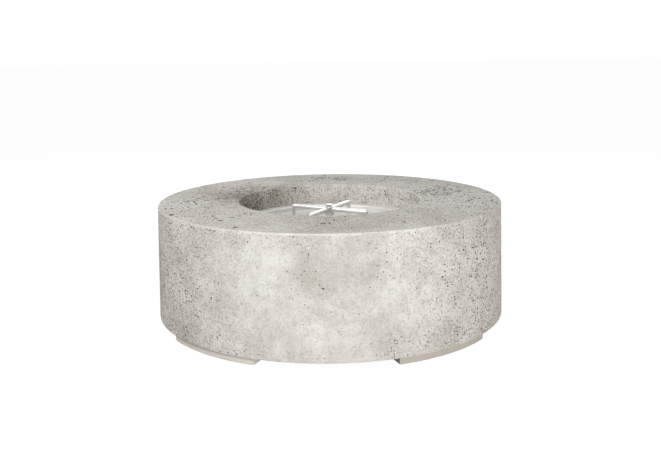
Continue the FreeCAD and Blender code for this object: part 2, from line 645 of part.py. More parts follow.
def inlet_fitting():
    """Flared elbow at the line's far end, turned down for a gas hose to screw on from below."""
    corner = on_line(inlet_corner)
    body_radius = INLET_BODY_DIAMETER / 2
    body = rod(SPIGOT_DIAMETER / 2, on_line(valve_end - SPIGOT_LENGTH), BACK, SPIGOT_LENGTH)
    body = body.fuse(rod(body_radius, on_line(valve_end), BACK, INLET_LEG))
    body = body.fuse(Part.makeSphere(body_radius, corner))
    body = body.fuse(rod(body_radius, corner, DOWN, INLET_DROP))
    thread_start = corner + DOWN * INLET_DROP
    cone_start = thread_start + DOWN * INLET_THREAD_LENGTH
    thread_radius = INLET_THREAD_DIAMETER / 2
    body = body.fuse(rod(thread_radius, thread_start, DOWN, INLET_THREAD_LENGTH))
    tip_radius = INLET_CONE_TIP_DIAMETER / 2
    body = body.fuse(Part.makeCone(thread_radius, tip_radius, INLET_CONE_LENGTH, cone_start, DOWN))
    way_in = rod(LINE_BORE / 2, corner, DOWN, INLET_DROP + INLET_THREAD_LENGTH + INLET_CONE_LENGTH)
    way_out = rod(LINE_BORE / 2, on_line(valve_end - SPIGOT_LENGTH), BACK, SPIGOT_LENGTH + INLET_LEG)
    return body.cut([way_in, way_out, Part.makeSphere(LINE_BORE / 2, corner)])


os.makedirs("parts", exist_ok=True)
save("concrete_drum", concrete_drum())
for quarter, foot_angle in zip(QUARTERS, FOOT_ANGLES):
    save("foot_" + quarter, foot(foot_angle))
save("foot_screws", foot_screws())
save("foot_inserts", foot_inserts())
save("burner_pan", burner_pan())
save("burner_hub", burner_hub())
save("hub_plug", hub_plug())
for quarter, arm_angle in zip(QUARTERS, ARM_ANGLES):
    save("burner_arm_" + quarter, spun(burner_arm(), arm_angle))
    save("arm_end_plug_" + quarter, spun(arm_end_plug(), arm_angle))
    save("arm_stand_" + quarter, spun(arm_stand(), arm_angle))
save("stand_end_screws", stand_end_screws())
save("stand_foot_screws", stand_foot_screws())
save("stand_foot_nuts", stand_foot_nuts())
save("riser_nipple", riser_nipple())
save("riser_top_washer", riser_washer(pan_floor, UP))
save("riser_bottom_washer", riser_washer(pan_underside, DOWN))
save("riser_top_nut", riser_nut(pan_floor, UP))
save("riser_bottom_nut", riser_nut(pan_underside, DOWN))
save("air_mixer", air_mixer())
save("gas_orifice", gas_orifice())
save("inlet_elbow", inlet_elbow())
save("valve_body", valve_body())
save("valve_end_piece", valve_end_piece())
save("valve_seats", valve_seats())
save("valve_ball", valve_ball())
save("valve_stem", valve_stem())
save("valve_lever", valve_lever())
save("lever_nut", lever_nut())
save("inlet_fitting", inlet_fitting())
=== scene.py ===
"""Looks of a concrete fire bowl: pitted cast concrete, smooth feet and a stainless burner.

Lengths are metres unless a name ends in mm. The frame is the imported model: +Z up, -Y the front.
"""
import math
import random

import bpy
from mathutils import Matrix, Vector, noise


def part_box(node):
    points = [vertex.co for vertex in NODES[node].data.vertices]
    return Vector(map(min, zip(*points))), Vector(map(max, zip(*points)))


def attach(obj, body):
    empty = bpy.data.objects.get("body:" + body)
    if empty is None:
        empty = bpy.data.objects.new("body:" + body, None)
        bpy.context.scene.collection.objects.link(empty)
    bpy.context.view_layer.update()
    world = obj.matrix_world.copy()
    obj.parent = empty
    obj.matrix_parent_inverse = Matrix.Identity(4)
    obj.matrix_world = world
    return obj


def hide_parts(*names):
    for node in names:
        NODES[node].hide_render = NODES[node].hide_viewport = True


bl_info = {
    "name": "Concrete Fire Bowl",
    "version": (1, 0, 0),
    "blender": (4, 5, 0),
    "location": "View3D > Sidebar > Fire Bowl",
    "description": "Builds the finish of a cast concrete fire bowl round its packed frame",
    "category": "Object",
}

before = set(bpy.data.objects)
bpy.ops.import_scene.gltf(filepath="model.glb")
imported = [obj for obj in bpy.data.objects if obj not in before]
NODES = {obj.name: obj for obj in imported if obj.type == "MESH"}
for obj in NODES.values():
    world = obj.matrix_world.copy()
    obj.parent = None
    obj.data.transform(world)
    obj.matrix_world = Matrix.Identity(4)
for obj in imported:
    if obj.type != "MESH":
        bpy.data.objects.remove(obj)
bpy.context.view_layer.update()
MM = 0.001
QUARTERS = ("front_right", "back_right", "back_left", "front_left")

DRUM_LOW, DRUM_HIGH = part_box("concrete_drum")
DRUM_RADIUS = DRUM_HIGH.x
DRUM_BASE = DRUM_LOW.z
DRUM_TOP = DRUM_HIGH.z
DRUM_FOOT = Vector((0.0, 0.0, DRUM_BASE))
PAN_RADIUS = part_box("burner_pan")[1].x
PAN_FLANGE_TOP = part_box("burner_pan")[1].z

# Sockets of a colour Mix node, which shares its names with the other kinds of Mix
FACTOR, COLOUR_A, COLOUR_B, MIXED = 0, 6, 7, 2


class FireBowlSizes(bpy.types.PropertyGroup):
    """Sizes of the cast drum's section and of its surface."""

    mould_draft: bpy.props.FloatProperty(
        name="Mould draft", description="How much less the drum's radius is at its top edge",
        default=12 * MM, unit="LENGTH")
    top_edge: bpy.props.FloatProperty(
        name="Top edge", description="Radius of the drum's top outer edge",
        default=7 * MM, unit="LENGTH")
    lip_edge: bpy.props.FloatProperty(
        name="Lip", description="Radius of the fire opening's lip", default=5 * MM, unit="LENGTH")
    arris: bpy.props.FloatProperty(
        name="Arris", description="Radius of the drum's other edges", default=3 * MM, unit="LENGTH")
    pan_gap: bpy.props.FloatProperty(
        name="Pan gap", description="Gap between the pan's flange and the recess wall",
        default=4 * MM, unit="LENGTH")
    pan_sheet: bpy.props.FloatProperty(
        name="Pan sheet", description="Thickness of the pan's sheet", default=2 * MM, unit="LENGTH")
    ledge_width: bpy.props.FloatProperty(
        name="Ledge width", description="Width of the ledge under the pan's flange",
        default=30 * MM, unit="LENGTH")
    ledge_height: bpy.props.FloatProperty(
        name="Ledge height", description="Thickness of the ledge", default=32 * MM, unit="LENGTH")
    collar_wall: bpy.props.FloatProperty(
        name="Collar wall", description="Thickness of the collar round the recess",
        default=38 * MM, unit="LENGTH")
    wall: bpy.props.FloatProperty(
        name="Wall", description="Thickness of the drum's wall", default=38 * MM, unit="LENGTH")
    slab: bpy.props.FloatProperty(
        name="Top slab", description="Thickness of the drum's top", default=42 * MM, unit="LENGTH")
    rim_height: bpy.props.FloatProperty(
        name="Base rim height", description="Thickness of the inward rim at the drum's foot",
        default=40 * MM, unit="LENGTH")
    rim_width: bpy.props.FloatProperty(
        name="Base rim width", description="Width of the underside of that rim",
        default=100 * MM, unit="LENGTH")
    core_fillet: bpy.props.FloatProperty(
        name="Core fillet", description="Radius of the hollow's corners",
        default=20 * MM, unit="LENGTH")
    cell: bpy.props.FloatProperty(
        name="Surface cell", description="Spacing of the drum's surface mesh where it is seen",
        default=10 * MM, unit="LENGTH")
    segments: bpy.props.IntProperty(
        name="Segments", description="Divisions round the drum", default=360, min=48)
    waviness: bpy.props.FloatProperty(
        name="Waviness", description="How far the cast surface dips below its true face",
        default=0.7 * MM, unit="LENGTH")
    chip: bpy.props.FloatProperty(
        name="Chips", description="Scale of the depth of the edges' chips",
        default=2.2 * MM, unit="LENGTH")
    pit_share: bpy.props.FloatProperty(
        name="Pit share", description="Share of the outer wall's cells that hold an air hole",
        default=0.25, min=0.0, max=0.5, subtype="FACTOR")
    pit_smallest: bpy.props.FloatProperty(
        name="Smallest pit", description="Radius of the smallest air hole",
        default=0.9 * MM, unit="LENGTH")
    pit_largest: bpy.props.FloatProperty(
        name="Largest pit", description="Radius of the largest air hole in a coarse cell",
        default=3.4 * MM, unit="LENGTH")
    crater_smallest: bpy.props.FloatProperty(
        name="Smallest crater", description="Radius of the smallest hole in a block of cells",
        default=2.6 * MM, unit="LENGTH")
    crater_largest: bpy.props.FloatProperty(
        name="Largest crater", description="Radius of the largest hole in a block of cells",
        default=8.5 * MM, unit="LENGTH")
    seed: bpy.props.IntProperty(
        name="Seed", description="Seed of the air holes' places", default=11)


class FireBowlColours(bpy.types.PropertyGroup):
    """Colours as sRGB hex values."""

    concrete_light: bpy.props.StringProperty(
        name="Lime bloom", description="Pale patches where lime has bloomed", default="#E2DFDA")
    concrete_dark: bpy.props.StringProperty(
        name="Dense paste", description="Darker patches of denser paste", default="#B4AEA5")
    # Pale grains, and the worn top edge and lip with their painted highlight
    concrete_pale_and_highlight: bpy.props.StringProperty(
        name="Worn edges and highlight", description="Pale grains, and the rubbed top edge and lip with their painted highlight", default="#ECE6DD")
    sand: bpy.props.StringProperty(
        name="Sand", description="Dark grains of the sand", default="#877867")
    # The air holes are painted dark as their shade, faintly at their rims and fully at their
    # bottoms
    pit: bpy.props.StringProperty(
        name="Air holes", description="Painted shade in the air holes", default="#393430")
    foot: bpy.props.StringProperty(
        name="Feet", description="Smooth cast feet", default="#E0D9D0")
    foot_dark: bpy.props.StringProperty(
        name="Feet, darker", description="Darker clouds in the feet", default="#D2CAC0")
    # The right feet are painted darker than the left, as painted shade
    foot_shaded: bpy.props.StringProperty(
        name="Shaded feet", description="Right feet, painted darker as shade", default="#CBC3B8")
    foot_shaded_dark: bpy.props.StringProperty(
        name="Shaded feet, darker", description="Darker clouds in the right feet", default="#BBB3A7")
    steel: bpy.props.StringProperty(
        name="Stainless", description="Drawn stainless tube", default="#E3E2DF")
    pan: bpy.props.StringProperty(
        name="Pan", description="Spun stainless sheet", default="#E9E7E3")
    zinc: bpy.props.StringProperty(
        name="Zinc", description="Zinc plated screws and nuts", default="#BDBFC1")
    brass: bpy.props.StringProperty(
        name="Brass", description="Machined brass fittings", default="#D6BF88")
    ptfe: bpy.props.StringProperty(
        name="Seat rings", description="White moulded seat rings", default="#EDEDEA")
    lever: bpy.props.StringProperty(
        name="Lever", description="Dipped lever", default="#D9A41C")
    floor: bpy.props.StringProperty(
        name="Floor", description="Light that the floor throws back", default="#C4C4C4")
    white: bpy.props.StringProperty(
        name="White", description="Background as it is seen", default="#FFFFFF")


def sizes():
    """Sizes that the scene holds."""
    return bpy.context.scene.fire_bowl_sizes


def colours():
    """Colours that the scene holds."""
    return bpy.context.scene.fire_bowl_colours


def linear(hex_colour):
    """sRGB hex value as a linear RGBA colour."""
    parts = [int(hex_colour[i:i + 2], 16) / 255 for i in (1, 3, 5)]
    straight = [c / 12.92 if c <= 0.04045 else ((c + 0.055) / 1.055) ** 2.4 for c in parts]
    return (*straight, 1.0)


def per_metre(size_mm):
    """Pattern scale that repeats about once every size_mm millimetres."""
    return 1.0 / (size_mm * MM)


def add(tree, kind, inputs=None, **settings):
    """Add one node; each value in inputs is a socket to link or a value to set."""
    node = tree.nodes.new(kind)
    for name, value in settings.items():
        setattr(node, name, value)
    for key, value in (inputs or {}).items():
        if isinstance(value, bpy.types.NodeSocket):
            tree.links.new(value, node.inputs[key])
        else:
            node.inputs[key].default_value = value
    return node


def new_material(name, shader):
    """New material, its node tree, its Principled shader and the place on the object."""
    material = bpy.data.materials.new(name)
    material.use_nodes = True
    tree = material.node_tree
    tree.nodes.clear()
    surface = add(tree, "ShaderNodeBsdfPrincipled", shader)
    add(tree, "ShaderNodeOutputMaterial", {"Surface": surface.outputs["BSDF"]})
    place = add(tree, "ShaderNodeTexCoord").outputs["Object"]
    return material, tree, surface, place


def cast_concrete():
    """Cement and sand cast in a mould: matt, cloudy where it dried unevenly, full of air holes."""
    c = colours()
    material, tree, surface, place = new_material(
        "cast_concrete", {"IOR": 1.5, "Specular IOR Level": 0.3})
    clouds = add(tree, "ShaderNodeTexNoise", {
        "Vector": place, "Scale": per_metre(120),
        "Detail": 6.0, "Roughness": 0.6, "Distortion": 0.3})
    drying_and_shading = add(tree, "ShaderNodeAttribute", attribute_name="drying_and_shading").outputs["Fac"]
    cloud_tone = add(tree, "ShaderNodeMapRange", {
        "Value": clouds.outputs["Fac"], "From Min": 0.32, "From Max": 0.66,
        "To Min": 0.3, "To Max": 0.95})
    # Drying marks add to the clouds, and painted shade and light are among them
    tone = add(tree, "ShaderNodeMath", {
        0: cloud_tone.outputs["Result"], 1: drying_and_shading}, operation="ADD")
    base = add(tree, "ShaderNodeMix", {
        FACTOR: tone.outputs["Value"],
        COLOUR_A: linear(c.concrete_dark), COLOUR_B: linear(c.concrete_light)}, data_type="RGBA")
    # The darkest marks are darkened further toward the air holes' colour: painted shade, deepest on
    # the recess's left wall
    painted_shade = add(tree, "ShaderNodeMapRange", {
        "Value": tone.outputs["Value"], "From Min": 0.0, "From Max": -0.8, "To Max": 0.4})
    base = add(tree, "ShaderNodeMix", {
        FACTOR: painted_shade.outputs["Result"],
        COLOUR_A: base.outputs[MIXED], COLOUR_B: linear(c.pit)}, data_type="RGBA")
    # Blotches a thumb's breadth wide break up the clouds
    blotches = add(tree, "ShaderNodeTexNoise", {
        "Vector": place, "Scale": per_metre(26), "Detail": 6.0, "Roughness": 0.7})
    blotch_tone = add(tree, "ShaderNodeMapRange", {
        "Value": blotches.outputs["Fac"], "From Min": 0.46, "From Max": 0.72, "To Max": 0.6})
    base = add(tree, "ShaderNodeMix", {
        FACTOR: blotch_tone.outputs["Result"],
        COLOUR_A: base.outputs[MIXED], COLOUR_B: linear(c.concrete_dark)}, data_type="RGBA")
    # The drum's top edge and its lip are rubbed pale, and carry a painted highlight along their
    # rounding
    worn_and_highlight = add(tree, "ShaderNodeAttribute", attribute_name="worn_and_highlight").outputs["Fac"]
    base = add(tree, "ShaderNodeMix", {
        FACTOR: worn_and_highlight,
        COLOUR_A: base.outputs[MIXED], COLOUR_B: linear(c.concrete_pale_and_highlight)}, data_type="RGBA")
    # The open top was struck off front to back, which drew its grains and pinholes out that way
    facing = add(tree, "ShaderNodeNewGeometry").outputs["True Normal"]
    lying = add(tree, "ShaderNodeSeparateXYZ", {"Vector": facing}).outputs["Z"]
    draw = add(tree, "ShaderNodeMapRange", {
        "Value": lying, "From Min": 0.5, "From Max": 0.9, "To Min": 1.0, "To Max": 0.4})
    strokes = add(tree, "ShaderNodeCombineXYZ", {"X": 1.0, "Y": draw.outputs["Result"], "Z": 1.0})
    struck = add(tree, "ShaderNodeVectorMath", {
        0: place, 1: strokes.outputs["Vector"]}, operation="MULTIPLY").outputs["Vector"]
    # Sand grains are under 1 mm, and are drawn at 6 mm so that they show from a step away
    sand = add(tree, "ShaderNodeTexNoise", {
        "Vector": struck, "Scale": per_metre(6), "Detail": 3.0, "Roughness": 0.7})
    grain = add(tree, "ShaderNodeAttribute", attribute_name="grain").outputs["Fac"]
    # Dark and pale grains: the noise where they start and are full, and their share in dense paste
    speckles = ((0.52, 0.64, 0.30, c.sand), (0.48, 0.37, 0.22, c.concrete_pale_and_highlight))
    for start, full, least, tint in speckles:
        share = add(tree, "ShaderNodeMapRange", {"Value": grain, "To Min": least})
        grains = add(tree, "ShaderNodeMapRange", {
            "Value": sand.outputs["Fac"], "From Min": start, "From Max": full,
            "To Max": share.outputs["Result"]})
        base = add(tree, "ShaderNodeMix", {
            FACTOR: grains.outputs["Result"],
            COLOUR_A: base.outputs[MIXED], COLOUR_B: linear(tint)}, data_type="RGBA")
    # Pinholes too fine for the mesh, painted dark as their shade: most cells of each size are
    # empty, fewer where air gathered
    hollow = add(tree, "ShaderNodeAttribute", attribute_name="pit").outputs["Fac"]
    air = add(tree, "ShaderNodeAttribute", attribute_name="air").outputs["Fac"]
    for cell_mm, empty in ((7, 0.75), (13, 0.7)):
        cells = add(tree, "ShaderNodeTexVoronoi", {"Vector": struck, "Scale": per_metre(cell_mm)})
        pick = add(tree, "ShaderNodeSeparateColor", {"Color": cells.outputs["Color"]})
        sparse = add(tree, "ShaderNodeMapRange", {
            "Value": air, "To Min": empty, "To Max": empty - 0.4})
        widest = add(tree, "ShaderNodeMapRange", {"Value": grain, "To Min": 0.15, "To Max": 0.33})
        reach = add(tree, "ShaderNodeMapRange", {
            "Value": pick.outputs["Red"], "From Min": sparse.outputs["Result"], "From Max": 1.0,
            "To Max": widest.outputs["Result"]})
        depth = add(tree, "ShaderNodeMath", {
            0: reach.outputs["Result"], 1: cells.outputs["Distance"]}, operation="SUBTRACT")
        hole = add(tree, "ShaderNodeMapRange", {
            "Value": depth.outputs["Value"], "From Min": 0.0, "From Max": 0.06, "To Max": 0.9})
        hollow = add(tree, "ShaderNodeMath", {
            0: hole.outputs["Result"], 1: hollow}, operation="MAXIMUM").outputs["Value"]
    # Air holes and pinholes are painted dark as their shade
    base = add(tree, "ShaderNodeMix", {
        FACTOR: hollow, COLOUR_A: base.outputs[MIXED], COLOUR_B: linear(c.pit)}, data_type="RGBA")
    tree.links.new(base.outputs[MIXED], surface.inputs["Base Color"])
    dryness = add(tree, "ShaderNodeMapRange", {
        "Value": blotches.outputs["Fac"], "From Min": 0.3, "From Max": 0.7,
        "To Min": 0.78, "To Max": 0.94})
    tree.links.new(dryness.outputs["Result"], surface.inputs["Roughness"])
    relief = add(tree, "ShaderNodeMath", {0: sand.outputs["Fac"], 1: hollow}, operation="SUBTRACT")
    bump = add(tree, "ShaderNodeBump", {
        "Height": relief.outputs["Value"], "Strength": 0.6, "Distance": 0.8 * MM})
    tree.links.new(bump.outputs["Normal"], surface.inputs["Normal"])
    return material


def smooth_concrete(name, pale, dark):
    """Fine cement cast against sheet steel: even and matt, with faint clouds and few pinholes."""
    material, tree, surface, place = new_material(name, {"IOR": 1.5, "Specular IOR Level": 0.4})
    clouds = add(tree, "ShaderNodeTexNoise", {
        "Vector": place, "Scale": per_metre(70), "Detail": 5.0, "Roughness": 0.6})
    base = add(tree, "ShaderNodeMix", {
        FACTOR: clouds.outputs["Fac"],
        COLOUR_A: linear(dark), COLOUR_B: linear(pale)}, data_type="RGBA")
    cells = add(tree, "ShaderNodeTexVoronoi", {"Vector": place, "Scale": per_metre(14)})
    hole = add(tree, "ShaderNodeMapRange", {
        "Value": cells.outputs["Distance"], "From Min": 0.05, "From Max": 0.09,
        "To Min": 0.5, "To Max": 0.0})
    base = add(tree, "ShaderNodeMix", {
        FACTOR: hole.outputs["Result"],
        COLOUR_A: base.outputs[MIXED], COLOUR_B: linear(colours().sand)}, data_type="RGBA")
    tree.links.new(base.outputs[MIXED], surface.inputs["Base Color"])
    trowel = add(tree, "ShaderNodeMapRange", {
        "Value": clouds.outputs["Fac"], "From Min": 0.3, "From Max": 0.7,
        "To Min": 0.6, "To Max": 0.75})
    tree.links.new(trowel.outputs["Result"], surface.inputs["Roughness"])
    bump = add(tree, "ShaderNodeBump", {
        "Height": clouds.outputs["Fac"], "Strength": 0.3, "Distance": 1.0 * MM})
    tree.links.new(bump.outputs["Normal"], surface.inputs["Normal"])
    return material


def worked_metal(name, hex_colour, smooth, rough, mark_mm, relief_mm):
    """Bare metal whose marks, about mark_mm wide, vary its gloss between smooth and rough."""
    material, tree, surface, place = new_material(
        name, {"Base Color": linear(hex_colour), "Metallic": 1.0})
    marks = add(tree, "ShaderNodeTexNoise", {
        "Vector": place, "Scale": per_metre(mark_mm), "Detail": 4.0, "Roughness": 0.6})
    gloss = add(tree, "ShaderNodeMapRange", {
        "Value": marks.outputs["Fac"], "From Min": 0.3, "From Max": 0.7,
        "To Min": smooth, "To Max": rough})
    tree.links.new(gloss.outputs["Result"], surface.inputs["Roughness"])
    bump = add(tree, "ShaderNodeBump", {
        "Height": marks.outputs["Fac"], "Strength": 0.2, "Distance": relief_mm * MM})
    tree.links.new(bump.outputs["Normal"], surface.inputs["Normal"])
    return material


def drawn_stainless():
    """Stainless tube drawn through a die: bright, with faint smears."""
    return worked_metal("drawn_stainless", colours().steel, 0.30, 0.40, 14, 0.01)


def zinc_plate():
    """Steel screws in bright zinc: a cool grey with a patchy bloom."""
    return worked_metal("zinc_plate", colours().zinc, 0.3, 0.5, 3, 0.1)


def machined_brass():
    """Brass bar turned on a lathe and left to dull: yellow, half bright."""
    return worked_metal("machined_brass", colours().brass, 0.26, 0.42, 5, 0.1)


def spun_stainless():
    """Stainless sheet spun over a former: satin, with fine rings and a film of pale dust."""
    material, tree, surface, place = new_material(
        "spun_stainless", {"Base Color": linear(colours().pan)})
    flat = add(tree, "ShaderNodeVectorMath", {0: place, 1: (1.0, 1.0, 0.0)}, operation="MULTIPLY")
    radius = add(tree, "ShaderNodeVectorMath", {0: flat.outputs["Vector"]}, operation="LENGTH")
    # Spinning marks are about 0.5 mm apart, and are drawn 2 mm apart so that they show
    rings = add(tree, "ShaderNodeTexNoise", {
        "W": radius.outputs["Value"], "Scale": per_metre(2), "Detail": 3.0}, noise_dimensions="1D")
    dust = add(tree, "ShaderNodeTexNoise", {
        "Vector": place, "Scale": per_metre(60), "Detail": 5.0, "Roughness": 0.6})
    mixed = add(tree, "ShaderNodeMath", {
        0: rings.outputs["Fac"], 1: dust.outputs["Fac"]}, operation="ADD")
    gloss = add(tree, "ShaderNodeMapRange", {
        "Value": mixed.outputs["Value"], "From Min": 0.7, "From Max": 1.3,
        "To Min": 0.4, "To Max": 0.6})
    tree.links.new(gloss.outputs["Result"], surface.inputs["Roughness"])
    bare = add(tree, "ShaderNodeMapRange", {
        "Value": dust.outputs["Fac"], "From Min": 0.3, "From Max": 0.7,
        "To Min": 0.55, "To Max": 0.35})
    tree.links.new(bare.outputs["Result"], surface.inputs["Metallic"])
    bump = add(tree, "ShaderNodeBump", {
        "Height": rings.outputs["Fac"], "Strength": 0.15, "Distance": 0.1 * MM})
    tree.links.new(bump.outputs["Normal"], surface.inputs["Normal"])
    return material


def moulded(name, hex_colour, roughness, dimple_mm):
    """Plastic or dipped coat with a skin of soft dimples."""
    material, tree, surface, place = new_material(
        name, {"Base Color": linear(hex_colour), "IOR": 1.46, "Roughness": roughness})
    dimples = add(tree, "ShaderNodeTexNoise", {
        "Vector": place, "Scale": per_metre(dimple_mm), "Detail": 2.0})
    bump = add(tree, "ShaderNodeBump", {
        "Height": dimples.outputs["Fac"], "Strength": 0.25, "Distance": 0.2 * MM})
    tree.links.new(bump.outputs["Normal"], surface.inputs["Normal"])
    return material


def moulded_ptfe():
    """PTFE moulded to rings: white, waxy and half matt."""
    return moulded("moulded_ptfe", colours().ptfe, 0.4, 4)


def dipped_lever():
    """Steel strip dipped in vinyl: a thick, even yellow coat with a soft sheen."""
    return moulded("dipped_lever", colours().lever, 0.35, 3)


def dress(names, material):
    """Give the frame's pieces of these names a material."""
    for name in names:
        for slot in NODES[name].material_slots:
            slot.material = material


def new_piece(name, points, faces, material, body):
    """Mesh piece that rides on a body of the frame."""
    mesh = bpy.data.meshes.new(name)
    mesh.from_pydata(points, [], faces)
    mesh.polygons.foreach_set("use_smooth", [True] * len(mesh.polygons))
    mesh.materials.append(material)
    piece = bpy.data.objects.new(name, mesh)
    bpy.context.scene.collection.objects.link(piece)
    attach(piece, body)
    return piece


def drum_corners():
    """The drum's section as (radius, height, round, strip) corners.

    A strip is what follows the corner: its spacing, how thick its air holes are against the wall's,
    and how many of them are craters. A strip without air holes is out of sight and plain.
    """
    s = sizes()
    opening = PAN_RADIUS + s.pan_gap
    ledge = opening - s.ledge_width
    collar = opening + s.collar_wall
    ledge_top = PAN_FLANGE_TOP - s.pan_sheet
    ledge_base = ledge_top - s.ledge_height
    slab_base = DRUM_TOP - s.slab
    top_radius = DRUM_RADIUS - s.mould_draft
    rim_inner = DRUM_RADIUS - s.rim_width
    rim_top = DRUM_BASE + s.rim_height
    outer_wall = (s.cell, 1.0, 0.0)
    top_ring = (s.cell, 0.65, 0.90)
    recess_wall = (s.cell, 0.8, 0.0)
    plain = (5 * s.cell, 0.0, 0.0)
    return [
        (DRUM_RADIUS, DRUM_BASE, s.arris, outer_wall),
        (top_radius, DRUM_TOP, s.top_edge, top_ring),
        (opening, DRUM_TOP, s.lip_edge, recess_wall),
        (opening, ledge_top, s.arris, plain),
        (ledge, ledge_top, s.arris, plain),
        (ledge, ledge_base, s.arris, plain),
        (collar, ledge_base, s.arris, plain),
        (collar, slab_base, s.core_fillet, plain),
        (top_radius - s.wall, slab_base, s.core_fillet, plain),
        (DRUM_RADIUS - s.wall, rim_top, s.core_fillet, plain),
        (rim_inner, rim_top, s.arris, plain),
        (rim_inner, DRUM_BASE, s.arris, plain),
    ]


ARC_STEPS = 4
NO_HOLES = (0.0, 0.0)
# Share of the top's scattered air holes that are craters, and how fast it grows where air gathered
LONE_CRATERS = 0.04
MORE_CRATERS = 2.0
# Largest share of cells that hold a hole anywhere
MOST_AIR = 0.42
# Share of a cell by which its corners stray, so that the air holes don't stand in rows
STRAY = 0.38

# Widths of the surface's dips, chips and rubbed places with their painted highlight, of its drying
# patches with painted shade and light among them, and of its airy patches
DIP_MM = 55
CHIP_MM = 13
RUB_AND_HIGHLIGHT_MM = 40
DRYING_AND_SHADING_MM = 45
AIRY_MM = 40
# Noise above which an edge is chipped, and how strongly noise breaks up drying marks, marks of
# painted shade and light, and air holes
CHIP_LEVEL = 0.32
DRYING_AND_SHADING_CONTRAST = 0.9
AIRY_CONTRAST = 2.2
# Share of its air holes that dense surface keeps, and the air that coarse surface adds to pinholes
DENSE_AIR = 0.12
COARSE_AIR = 0.25

# An air hole: points round it, the most of its cell that it fills, and its depth against its radius
HOLE_POINTS = 8
HOLE_MOST = 0.9
HOLE_DEPTH = (0.9, 1.5)
# How far its rim reaches at random, and at a corner of its cell
RIM_REACH = (0.78, 1.0)
CORNER_REACH = 0.76
# Its rings: share of its width, share of its depth, and how dark its painted shade is
HOLE_RINGS = ((1.0, 0.0, 0.05), (0.96, 0.06, 0.8), (0.8, 0.7, 1.0))
# Size of the largest pit on a dense surface against a coarse one, and the coarsest that counts
DENSE_PIT = 0.5
COARSEST = 1.4
# Cosines from the drum's sides at which a crater's block turns
CRATER_ALONG = 0.85
CRATER_ACROSS = 0.5


def section_rows(corners):
    """Points round a closed section with its corners rounded.

    Each row is (point, holes, edge): holes is the thickness and the crater share of the strip that
    follows, and edge is 1 in the middle of a rounded corner and 0 on the flat.
    """
    count = len(corners)
    flat = [Vector((r, z)) for r, z, *_ in corners]
    ends = []
    for i in range(count):
        here = flat[i]
        back = (flat[i - 1] - here).normalized()
        ahead = (flat[(i + 1) % count] - here).normalized()
        half = back.angle(ahead) / 2
        radius = corners[i][2]
        reach = radius / math.tan(half)
        centre = here + (back + ahead).normalized() * (radius / math.sin(half))
        ends.append((here + back * reach, centre, here + ahead * reach))
    rows = []
    for i, (_, _, radius, (spacing, *holes)) in enumerate(corners):
        entry, centre, leave = ends[i]
        for k in range(ARC_STEPS):
            turned = k / ARC_STEPS
            spoke = (entry - centre).normalized().slerp((leave - centre).normalized(), turned)
            rows.append((centre + spoke * radius, NO_HOLES, math.sin(math.pi * turned)))
        run = ends[(i + 1) % count][0] - leave
        pieces = max(1, round(run.length / spacing))
        rows += [(leave + run * (k / pieces), tuple(holes), 0.0) for k in range(pieces)]
    return rows


# Marks on the drum: a place near its surface, with its height above the drum's base, then the
# mark's reach and its amount. These are places where air gathered
AIR_CLUSTERS = (
    (Vector((-0.30, 0.25, 0.390)), 0.055, 0.90),
    (Vector((-0.29, 0.11, 0.360)), 0.090, 0.35),
    (Vector((0.40, 0.10, 0.390)), 0.060, 0.90),
    (Vector((0.43, 0.19, 0.390)), 0.040, 0.50),
    (Vector((0.04, 0.45, 0.390)), 0.035, 0.60),
    (Vector((-0.05, 0.51, 0.390)), 0.030, 0.50),
    (Vector((0.23, -0.36, 0.390)), 0.030, 0.25),
    (Vector((-0.03, -0.47, 0.390)), 0.060, 0.05),
    (Vector((0.06, -0.44, 0.390)), 0.045, 0.05),
    (Vector((-0.36, -0.34, 0.390)), 0.045, 0.25),
    (Vector((-0.48, -0.05, 0.390)), 0.080, 0.15),
    (Vector((0.52, -0.02, 0.390)), 0.080, 0.20),
    (Vector((0.47, -0.38, 0.282)), 0.060, 0.25),
    (Vector((0.49, -0.36, 0.192)), 0.080, 0.30),
    (Vector((0.53, -0.29, 0.092)), 0.080, 0.35),
    (Vector((0.43, -0.42, 0.032)), 0.060, 0.20),
    (Vector((-0.48, -0.36, 0.262)), 0.060, 0.25),
    (Vector((-0.45, -0.41, 0.132)), 0.060, 0.25),
    (Vector((-0.53, -0.29, 0.172)), 0.120, 0.40),
    (Vector((-0.31, -0.52, 0.012)), 0.050, 0.25),
    (Vector((-0.07, -0.60, 0.242)), 0.050, 0.25),
    (Vector((0.14, -0.59, 0.252)), 0.050, 0.25),
    (Vector((0.36, -0.48, 0.242)), 0.040, 0.35),
    (Vector((0.20, -0.57, 0.022)), 0.060, 0.25),
    (Vector((-0.47, 0.33, 0.222)), 0.140, 0.25),
    (Vector((0.30, 0.52, 0.132)), 0.150, 0.25),
    (Vector((0.31, 0.06, 0.350)), 0.060, 0.35),
)
